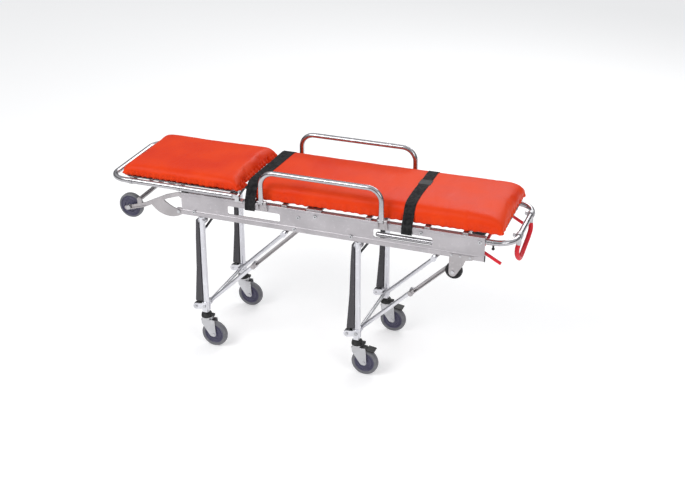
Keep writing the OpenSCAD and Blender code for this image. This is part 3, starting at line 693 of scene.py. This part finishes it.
# %% Round the edges of the plates, tubes and castings
sheet_parts = [
    "rail_near", "rail_far", "cross_bars", "leg_hangers", "strut_brackets", "load_arms", "guard_brackets",
    "aux_forks", "stay_bracket", "backrest_hinges", "head_upper_struts", "foot_upper_struts", "deck_panel",
    "backrest_deck", "head_legs", "foot_legs", "caster_fork_head_near", "caster_fork_head_far",
    "caster_fork_foot_near", "caster_fork_foot_far", "wheel_bolts", "rail_bolts",
]
tube_parts = [
    "foot_bow", "handle_clamps", "backrest_frame", "side_guard_near", "side_guard_far", "carry_tubes",
    "head_pivot_tube", "foot_pivot_tube", "head_leg_axles", "foot_leg_axles", "head_lower_struts",
    "foot_lower_struts", "stay_cylinder", "stay_rod", "release_levers",
]
moulded_parts = [
    "rail_end_plugs", "bow_buffers", "rest_blocks", "head_leg_guards", "foot_leg_guards", "head_rollers",
    "foot_rollers", "brake_pedal_near", "brake_pedal_far",
]
soft = {}
for name in sheet_parts:
    soft[name] = eased(name, 0.0006)
for name in tube_parts:
    soft[name] = eased(name, 0.0010)
for name in moulded_parts:
    soft[name] = eased(name, 0.0014, 3)

# The plugs at the rails' head end are metal. Every face inboard of the legs' inner face, the stop arms
# among them, gets the dark paint finish as painted shade for the shadow between the legs
inner_face_of_leg = 0.1765
for node, second, chosen in (
    ("rail_end_plugs", satin_rail, lambda p: p.x < 0),
    # painted shade: the faces inside the legs are made dark
    ("head_legs", dark_paint, lambda p: abs(p.y) < inner_face_of_leg),
    ("foot_legs", dark_paint, lambda p: abs(p.y) < inner_face_of_leg),
):
    soft[node].data.materials.append(second)
    for polygon in soft[node].data.polygons:
        polygon.material_index = int(chosen(polygon.center))
print("softened", len(soft), "parts")

# %% [markdown]
# ## Boxes of one side
# Most parts come as a mirrored pair in one CAD node. This helper measures one of the pair.

# %% Measure one side
def side_box(node, side):
    """Lowest and highest corner of the part of a CAD node on one side: -1 is near, 1 is far."""
    spots = [v.co for v in nodes[node].data.vertices if v.co.y * side > 0]
    low = Vector([min(p[i] for p in spots) for i in range(3)])
    high = Vector([max(p[i] for p in spots) for i in range(3)])
    return low, high


print("near loading wheel", [round(v, 4) for v in side_box("loading_wheels", -1)[0]])

# %% [markdown]
# ## Wheels
# Each caster wheel is a dark moulded centre with a grey rubber tyre bonded round it. Both are turned:
# one half section is drawn and screwed round the axle. The tyre's tread is slightly crowned, with a
# small step where the tyre meets the centre, and the centre is dished with a raised hub.

# %% Turn a profile round an axle
def turned(name, profile, finish, steps=64, corner_width=0.0012):
    """A solid of revolution round the Z axis from (radius, height) points, top to bottom."""
    mesh = bpy.data.meshes.new(name)
    mesh.from_pydata([(r, 0, h) for r, h in profile], [(i, i + 1) for i in range(len(profile) - 1)], [])
    piece = add_object(name, mesh, finish)
    spin = piece.modifiers.new("turn", "SCREW")
    spin.axis = "Z"
    spin.angle = math.tau
    spin.steps = steps
    spin.render_steps = steps
    spin.use_merge_vertices = True
    spin.merge_threshold = 0.00001
    spin.use_normal_calculate = True
    round_edges(piece, corner_width, 3, 25.0)
    return piece


def set_on_axle(piece, centre, lie=True):
    """Applies the stack, lays the axle from Z to Y if asked, and moves it to centre."""
    bake(piece)
    made = piece.data
    made.transform(Matrix.Translation(centre) @ Matrix.Rotation(math.radians(-90 * lie), 4, "X"))
    work = bmesh.new()
    work.from_mesh(made)
    bmesh.ops.recalc_face_normals(work, faces=work.faces)
    for face in work.faces:
        face.smooth = True
    work.to_mesh(made)
    work.free()
    made.set_sharp_from_angle(angle=math.radians(40))
    return piece


widest_tyre = 0.0266


def wheel(name, node, side, tyre_share, hub_share, tyre_finish, centre_finish):
    """A tyre and a dished centre on the axle of a CAD wheel. Shares are of the wheel's radius."""
    low, high = side_box(node, side)
    axle = (low + high) / 2
    r = (high.x - low.x) / 2
    half = min(widest_tyre / 2, (high.y - low.y) / 2)
    inner = r * (1 - tyre_share)
    hub = r * hub_share
    rib = (hub + inner) / 2
    tread = [
        (inner, half - 0.0015), (inner + 0.001, half), (r - 0.005, half), (r - 0.0018, half - 0.0022),
        (r - 0.0003, half - 0.0055),
    ]
    tread += [(r, 0.0)] + [(radius, -height) for radius, height in reversed(tread)]
    tyre = set_on_axle(turned(name + "_tyre", tread, tyre_finish), axle)
    top = (high.y - low.y) / 2
    dish = [
        (0.0055, top), (hub, top), (hub + 0.002, half - 0.005), (rib - 0.004, half - 0.006),
        (rib - 0.0025, half - 0.003), (rib + 0.0025, half - 0.003), (rib + 0.004, half - 0.006),
        (inner - 0.006, half - 0.006), (inner - 0.003, half - 0.001), (inner + 0.0003, half - 0.001),
    ]
    dish += [(radius, -height) for radius, height in reversed(dish)]
    centre = set_on_axle(turned(name + "_centre", dish, centre_finish), axle)
    for piece in (tyre, centre):
        stands_for(piece, node)


# %% The eight wheels
for node in ("wheel_head_near", "wheel_head_far", "wheel_foot_near", "wheel_foot_far"):
    side = -1 if node.endswith("near") else 1
    wheel(node.replace("wheel", "caster"), node, side, 0.26, 0.27, grey_tyre, wheel_centre)
for side, word in ((-1, "near"), (1, "far")):
    wheel("loading_" + word, "loading_wheels", side, 0.16, 0.25, grey_tyre, wheel_centre)
    wheel("aux_" + word, "aux_wheels", side, 0.24, 0.30, black_rubber, black_plastic)

# %% [markdown]
# ## Swivel heads
# Above each fork sits a black swivel head: a ribbed dust cap over the ball race, and a small moulded
# stop on its trailing side. The ribs are grooves in the turned profile.

# %% The four swivel heads
def small_block(name, low, high, finish, width):
    """A box cage with rounded edges."""
    mesh = bpy.data.meshes.new(name)
    work = bmesh.new()
    bmesh.ops.create_cube(work, size=1.0)
    for vertex in work.verts:
        vertex.co = Vector([low[i] if vertex.co[i] < 0 else high[i] for i in range(3)])
    for face in work.faces:
        face.smooth = True
    work.to_mesh(mesh)
    work.free()
    piece = add_object(name, mesh, finish)
    round_edges(piece, width, 4, flat=True)
    return piece


cap_profile = [(0.0, 0.026), (0.0150, 0.026), (0.0175, 0.023), (0.0215, 0.022), (0.0235, 0.0195),
               (0.0215, 0.0175), (0.0225, 0.0165), (0.0250, 0.0145), (0.0230, 0.0125), (0.0240, 0.0110),
               (0.0262, 0.0085), (0.0245, 0.0065), (0.0250, 0.0050), (0.0262, 0.0030), (0.0255, 0.0004),
               (0.0, 0.0004)]
for end in ("head", "foot"):
    for side, word in ((-1, "near"), (1, "far")):
        low, high = side_box(end + "_caster_heads", side)
        foot_of_leg = Vector(((low.x + high.x) / 2, (low.y + high.y) / 2, low.z))
        cap = turned("swivel_cap_" + end + "_" + word, cap_profile, black_plastic, 48, 0.0006)
        stands_for(set_on_axle(cap, foot_of_leg, False), end + "_caster_heads")
        stop = small_block("swivel_stop_" + end + "_" + word, foot_of_leg + Vector((0.016, -0.010, 0.006)),
                           foot_of_leg + Vector((0.040, 0.008, 0.019)), black_plastic, 0.003)
        stands_for(stop, end + "_caster_heads")
print("swivel heads", 4)

# %% [markdown]
# ## Fork cheeks
# The cheeks of each fork are wide pressed plates, almost upright behind the axle and slanted in front of
# it. Each is a flat outline with a solidify modifier for the sheet and a bevel for its rolled edge.

# %% Eight cheeks
cheek_outline = [(-0.0210, 0.1370), (0.0450, 0.1370), (0.0470, 0.1200), (0.0500, 0.0600), (0.0455, 0.0520),
                 (0.0255, 0.0515), (0.0180, 0.0590), (-0.0190, 0.1120)]
back_of_fork, cheek_apart = 0.024, 0.0350
for end in ("head", "foot"):
    for word in ("near", "far"):
        node = "caster_fork_" + end + "_" + word
        low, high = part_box(node)
        axis_x, middle_y = low.x + back_of_fork, (low.y + high.y) / 2
        for hand, side in (("left", -1), ("right", 1)):
            mesh = bpy.data.meshes.new("fork_cheek")
            cheek_y = middle_y + side * cheek_apart / 2
            mesh.from_pydata([(axis_x + x, cheek_y, z) for x, z in cheek_outline], [],
                             [tuple(range(len(cheek_outline)))])
            cheek = add_object("fork_cheek_" + end + "_" + word + "_" + hand, mesh, zinc)
            sheet = cheek.modifiers.new("sheet", "SOLIDIFY")
            sheet.thickness = 0.0038
            sheet.offset = 0.0
            round_edges(cheek, 0.0012, 3)
            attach(cheek, body_of(nodes[node])[0])
print("fork cheeks", 8)

# %% [markdown]
# ## Painted shade in the sockets of the rail bolts
# Each rail bolt is a bright button head with a hexagon socket, a recess that lies in shade. A socket is too
# small to be cut deeply, so each is a thin dark six-sided disc set a hair proud of its head: painted shade
# for the recess.
# The heads are islands of one CAD node, so each is found by walking along its edges.

# %% Painted shade in the sockets
bolts = bmesh.new()
bolts.from_mesh(nodes["rail_bolts"].data)
bmesh.ops.remove_doubles(bolts, verts=bolts.verts, dist=join_distance)
seen, socket_shade_discs, socket_r = set(), bmesh.new(), 0.0032
for start in bolts.verts:
    if start.index in seen:
        continue
    island, todo = [], [start]
    while todo:
        vertex = todo.pop()
        if vertex.index in seen:
            continue
        seen.add(vertex.index)
        island.append(vertex.co)
        todo += [edge.other_vert(vertex) for edge in vertex.link_edges]
    side = math.copysign(1, island[0].y)
    face_y = max(abs(p.y) for p in island)
    spot = Vector(((min(p.x for p in island) + max(p.x for p in island)) / 2, side * (face_y + 0.0002),
                   (min(p.z for p in island) + max(p.z for p in island)) / 2))
    lie = Matrix.Translation(spot) @ Matrix.Rotation(math.radians(90), 4, "X")
    bmesh.ops.create_cone(socket_shade_discs, cap_ends=True, segments=6, radius1=socket_r, radius2=socket_r,
                          depth=0.0006, matrix=lie)
socket_shade_mesh = bpy.data.meshes.new("bolt_socket_shade")
socket_shade_discs.to_mesh(socket_shade_mesh)
socket_shade_discs.free()
bolts.free()
# the discs take the dark paint finish as painted shade
socket_shade = add_object("bolt_socket_shade", socket_shade_mesh, dark_paint)
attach(socket_shade, body_of(nodes["rail_bolts"])[0])
soft["rail_bolts"].data.materials[0] = zinc
print("socket_shade_discs", len(socket_shade_mesh.polygons) // 8)

# %% [markdown]
# ## Loop handle
# The red pull handle is a bent steel bar dipped in plastic. It hangs from two sockets on the foot bow,
# and it is lopsided and a little twisted. A smooth curve through a few points gives the bend,
# and the curve's own round bevel gives the bar.

# %% Bend the loop handle
def bent_bar(name, spots, radius, finish):
    """A round bar along a smooth curve through spots."""
    curve = bpy.data.curves.new(name, "CURVE")
    curve.dimensions = "3D"
    curve.resolution_u = 10
    curve.bevel_depth = radius
    curve.bevel_resolution = 8
    curve.use_fill_caps = True
    line = curve.splines.new("BEZIER")
    line.bezier_points.add(len(spots) - 1)
    for knot, spot in zip(line.bezier_points, spots):
        knot.co = spot
        knot.handle_left_type = "AUTO"
        knot.handle_right_type = "AUTO"
    return add_object(name, curve, finish)


loop_low, loop_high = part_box("loop_handle")
loop_r = (loop_high.x - loop_low.x) / 2
loop_x = (loop_high.x + loop_low.x) / 2
loop_w = loop_high.y - loop_low.y - 2 * loop_r
loop_h = loop_high.z - loop_low.z - loop_r
loop_shares = [
    (0.013, 1.02), (0.0, 0.74), (0.03, 0.40), (0.12, 0.12), (0.25, 0.0), (0.42, 0.065), (0.64, 0.26),
    (0.84, 0.55), (0.965, 0.80), (1.0, 1.02),
]
twist = 0.012
loop_spots = [
    (loop_x + (w - 0.45) * twist * math.sin(min(1.0, 1.1 - h) * 3.0), loop_low.y + loop_r + w * loop_w,
     loop_low.z + loop_r + h * (loop_h - loop_r * 0.2))
    for w, h in loop_shares
]
stands_for(bent_bar("pull_loop", loop_spots, loop_r * 1.08, red_handle), "loop_handle")
print("loop handle", round(loop_w, 3), "wide", round(loop_h, 3), "deep")

# %% [markdown]
# ## Cushions
# Both cushions are foam in a sewn cover. A cover has no hard edges: the top is crowned, the sides swell
# and are drawn in by a seam half way down, and below the seam the cloth is gathered in small pleats. The
# corners end in small ears where three panels meet. The cage is a pillow whose thickness falls to
# nothing at the seam. It is remeshed evenly, blown up a little by the cloth solver, which gives it the
# slack between the corners, and then gathered below the seam.

# %% Pillow cage
def pillow_cage(name, low, high, seam, crown, end_x, end_y, cut=0.0, lip=0.0):
    """Two sheets joined at a seam. end_x (at each end) and end_y say how late the sheets close.
    cut slants the +X end, and lip lets its lower edge hang."""
    across, along = 40, 90
    middle = (low + high) / 2
    half_x, half_y = (high.x - low.x) / 2, (high.y - low.y) / 2
    mesh = bpy.data.meshes.new(name)
    work = bmesh.new()
    for up in (1, -1):
        rows = []
        for i in range(along + 1):
            u = math.sin((i / along - 0.5) * math.pi)
            row = []
            for j in range(across + 1):
                v = math.sin((j / across - 0.5) * math.pi)
                late, flat = end_x[0] if u < 0 else end_x[1]
                close = max(0, 1 - abs(u) ** late) ** flat * max(0, 1 - abs(v) ** end_y) ** 0.34
                pull = 0.006 * (1 - v * v) * abs(u) ** 8
                x = middle.x + half_x * u - math.copysign(pull, u)
                y = middle.y + half_y * v - math.copysign(0.004 * (1 - u * u) * abs(v) ** 6, v)
                crest = high.z + crown * (1 - v * v)
                z = seam + (crest - seam if up > 0 else low.z - seam) * close
                if cut and u > 0:
                    x -= cut * max(0, z - seam) / (high.z - seam) * u ** 6
                    z -= lip * u ** 60 * (1 - close)
                row.append(work.verts.new((x, y, z)))
            rows.append(row)
        for i in range(along):
            for j in range(across):
                quad = [rows[i][j], rows[i + 1][j], rows[i + 1][j + 1], rows[i][j + 1]]
                work.faces.new(quad if up > 0 else quad[::-1])
    bmesh.ops.remove_doubles(work, verts=work.verts, dist=0.0004)
    bmesh.ops.recalc_face_normals(work, faces=work.faces)
    work.to_mesh(mesh)
    work.free()
    return add_object(name, mesh, cover)


def blow_up(piece):
    """Remeshes a cushion evenly and lets the cloth solver fill it, moving no point by more than cap."""
    voxel, pressure, cap, last_frame = 0.006, 3.0, 0.006, 20
    even = piece.modifiers.new("even mesh", "REMESH")
    even.mode = "VOXEL"
    even.voxel_size = voxel
    even.adaptivity = 0
    bake(piece)
    before = [v.co.copy() for v in piece.data.vertices]
    cloth = piece.modifiers.new("cloth", "CLOTH")
    cloth.settings.use_pressure = True
    cloth.settings.uniform_pressure_force = pressure
    cloth.settings.effector_weights.gravity = 0.0
    cloth.settings.quality = 4
    cloth.settings.mass = 0.3
    cloth.settings.tension_stiffness = 12
    cloth.settings.compression_stiffness = 12
    cloth.settings.bending_stiffness = 0.4
    cloth.point_cache.frame_start = 1
    cloth.point_cache.frame_end = last_frame
    for number in range(1, last_frame + 1):
        bpy.context.scene.frame_set(number)
    bake(piece)
    bpy.context.scene.frame_set(1)
    for vertex, start in zip(piece.data.vertices, before):
        move = vertex.co - start
        if move.length > cap:
            vertex.co = start + move * (cap / move.length)


def gather(piece, low, high, seam, depth, pitch, seed, sag=0.0):
    """Draws the side in at the seam and pleats the cloth below it, pitch metres apart. The outer hem of
    a cushion as wide as its box hangs by sag."""
    seam_inset, seam_width, softness, hem = 0.0022, 0.0028, 0.0020, 0.026
    middle = (low + high) / 2
    mesh = piece.data
    mesh.update()
    for vertex, normal in zip(mesh.vertices, [n.vector.copy() for n in mesh.vertex_normals]):
        p = vertex.co
        out = Vector((normal.x, normal.y, 0))
        steep = min(1.0, out.length * 1.3)
        run = p.x if abs(normal.y) > abs(normal.x) else p.y
        below = max(0.0, min(1.0, (seam + 0.008 - p.z) / 0.012))
        groove = math.exp(-((p.z - seam) / seam_width) ** 2)
        wave = math.sin(run / pitch * math.tau + 2.2 * noise.noise(Vector((run * 9, seed, 0))))
        slack = noise.noise(Vector((run * 28, p.z * 10, seed)))
        fold = noise.noise(Vector((run * 16, p.z * 26, seed + 4)))
        pleat = below * depth * (0.55 * wave + 0.9 * slack)
        push = steep * (pleat - groove * seam_inset + softness * fold)
        vertex.co = p + normal * push
        vertex.co.z = max(vertex.co.z, low.z + 0.0004)
        if abs(p.y - middle.y) > high.y - hem:
            vertex.co.z -= sag * below
    for polygon in mesh.polygons:
        polygon.use_smooth = True
    smooth = piece.modifiers.new("finer", "SUBSURF")
    smooth.levels = 1
    smooth.render_levels = 1


# %% The long mattress
bed_low, bed_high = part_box("main_mattress")
bed_low.x -= 0.020
bed_seam = bed_low.z + 0.026
bed = pillow_cage("long_mattress", bed_low + Vector((0, 0, 0.0005)), bed_high + Vector((0, 0, 0.001)),
                  bed_low.z + 0.007, 0.004, ((30, 0.34), (20, 0.52)), 13)
blow_up(bed)
gather(bed, bed_low, bed_high, bed_seam, 0.0050, 0.036, 3, 0.0055)
stands_for(bed, "main_mattress")
print("long mattress", len(bed.data.polygons), "faces before the last subdivision")

# %% The head cushion
head_low, head_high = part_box("head_cushion")
head_low += Vector((-0.004, -0.005, 0))
head_high += Vector((0.002, 0.005, 0.003))
head_seam = head_low.z + 0.022
pillow = pillow_cage("head_pad", head_low + Vector((0, 0, 0.0005)), head_high,
                     head_low.z + 0.006, 0.005, ((15, 0.42), (20, 0.36)), 12, 0.040, 0.012)
blow_up(pillow)
gather(pillow, head_low - Vector((0, 0, 0.010)), head_high, head_seam, 0.0062, 0.029, 8)
stands_for(pillow, "head_cushion")
print("head cushion", len(pillow.data.polygons), "faces before the last subdivision")

# %% [markdown]
# ## Straps
# Two lengths of black webbing hold the patient. Each is sewn to the rail's outer face, comes up past the
# edge of the mattress and crosses the top. A tight strap takes the shortest way round whatever it
# touches, so its path is the hull of the points of the mattress under it.

# %% The way of a tight strap
rail_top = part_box("rail_near")[1].z + 0.004  # a strap bends a little above the rail
bpy.context.view_layer.update()
graph = bpy.context.evaluated_depsgraph_get()
bed_tree = BVHTree.FromObject(bed, graph)


def strap_path(x0, x1, rail_out, rail_low, rail_high):
    """Points (y, z) of a strap from the near rail over the mattress to the far rail."""
    touched, above, clear = [], 1.2, 0.0012
    for x in (x0, (x0 + x1) / 2, x1):
        for step in range(-30, 31):
            hit = bed_tree.ray_cast(Vector((x, step * 0.0074, above)), Vector((0, 0, -1)))[0]
            if hit:
                touched.append((hit.y, hit.z + clear))
        for side in (-1, 1):
            for step in range(12):
                z = bed_low.z + 0.012 + step * 0.005
                hit = bed_tree.ray_cast(Vector((x, side * 0.4, z)), Vector((0, -side, 0)))[0]
                if hit:
                    touched.append((hit.y + side * clear, z))
    for side in (-1, 1):
        touched += [(side * rail_out, rail_high), (side * rail_out, rail_low)]
    touched.sort()
    hull = []
    for spot in touched:
        while len(hull) > 1:
            (ay, az), (by, bz) = hull[-2], hull[-1]
            if (by - ay) * (spot[1] - az) - (bz - az) * (spot[0] - ay) < 0:
                break
            hull.pop()
        hull.append(spot)
    return [(-rail_out, rail_low)] + [p for p in hull if p[1] > rail_low + 0.001] + [(rail_out, rail_low)]


def webbing_strap(name, node, wander, seed, slant=0.0, flare=0.0):
    """A flat strap along its path, its near end shifted by slant. Its UV map is in metres."""
    low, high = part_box(node)
    path = strap_path(low.x - wander - slant, high.x + wander, high.y - 0.0020, low.z + 0.001, rail_top)
    even = [Vector((0, *path[0]))]
    for start, end in zip(path, path[1:]):
        a, b = Vector((0, *start)), Vector((0, *end))
        count = max(1, int((b - a).length / 0.010))
        even += [a.lerp(b, (k + 1) / count) for k in range(count)]
    mesh = bpy.data.meshes.new(name)
    work = bmesh.new()
    layer = work.loops.layers.uv.new("strap")
    width = high.x - low.x
    rows, along, total = [], 0.0, 0.0
    for i, spot in enumerate(even):
        total += (spot - even[i - 1]).length if i else 0.0
        sway = wander * noise.noise(Vector((total * 5.0, seed, 0))) * 1.6
        sway -= slant * max(0.0, min(1.0, (0.45 - total) / 0.45))
        row = []
        for k in range(5):
            x = low.x + width * (1 + flare * min(1.0, total / 0.5)) * k / 4 + sway
            row.append((work.verts.new((x, spot.y, spot.z)), width * k / 4, total))
        rows.append(row)
    for first, second in zip(rows, rows[1:]):
        for k in range(4):
            corners = [first[k], first[k + 1], second[k + 1], second[k]]
            face = work.faces.new([c[0] for c in corners])
            face.smooth = True
            for loop, corner in zip(face.loops, corners):
                loop[layer].uv = (corner[1], corner[2])
    bmesh.ops.recalc_face_normals(work, faces=work.faces)
    work.to_mesh(mesh)
    work.free()
    piece = add_object(name, mesh, webbing)
    thick = piece.modifiers.new("webbing thickness", "SOLIDIFY")
    thick.thickness = 0.0016
    thick.offset = 0.0
    round_edges(piece, 0.0005, 2)
    stands_for(piece, node)
    print(name, "length", round(total, 3), "width", round(width, 3))
    return piece


chest = webbing_strap("chest_webbing", "chest_strap", 0.003, 2, 0.018, 0.25)
webbing_strap("leg_webbing", "leg_strap", 0.004, 5)

# %% Bake the chest strap into a mesh of its own
bake(chest)
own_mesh(chest)
print("chest strap slides by", round(0.19 * (1 - 0.9), 3), "metres")

# %% [markdown]
# ## Buckle
# The leg strap closes with a moulded plastic buckle on top of the mattress. A low rounded block carries
# the female half, a second shorter one the male half, and the release button is red.

# %% The buckle
buckle_low, buckle_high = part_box("strap_buckle")
lift = Vector((0, 0, 0.0015))
buckle = small_block("buckle_body", buckle_low + lift, buckle_high + lift, black_rubber, 0.0032)
stands_for(buckle, "strap_buckle")
tongue = small_block(
    "buckle_tongue", (buckle_low.x + 0.006, buckle_low.y - 0.020, buckle_low.z + 0.003),
    (buckle_high.x - 0.006, buckle_low.y + 0.004, buckle_high.z - 0.001), black_rubber, 0.0018)
stands_for(tongue, "strap_buckle")
button = small_block(
    "buckle_button", (buckle_low.x - 0.020, buckle_low.y + 0.006, buckle_low.z + 0.001),
    (buckle_low.x + 0.004, buckle_low.y + 0.030, buckle_high.z - 0.002), red_handle, 0.0020)
stands_for(button, "strap_buckle")
print("buckle at", [round(v, 3) for v in buckle_low])
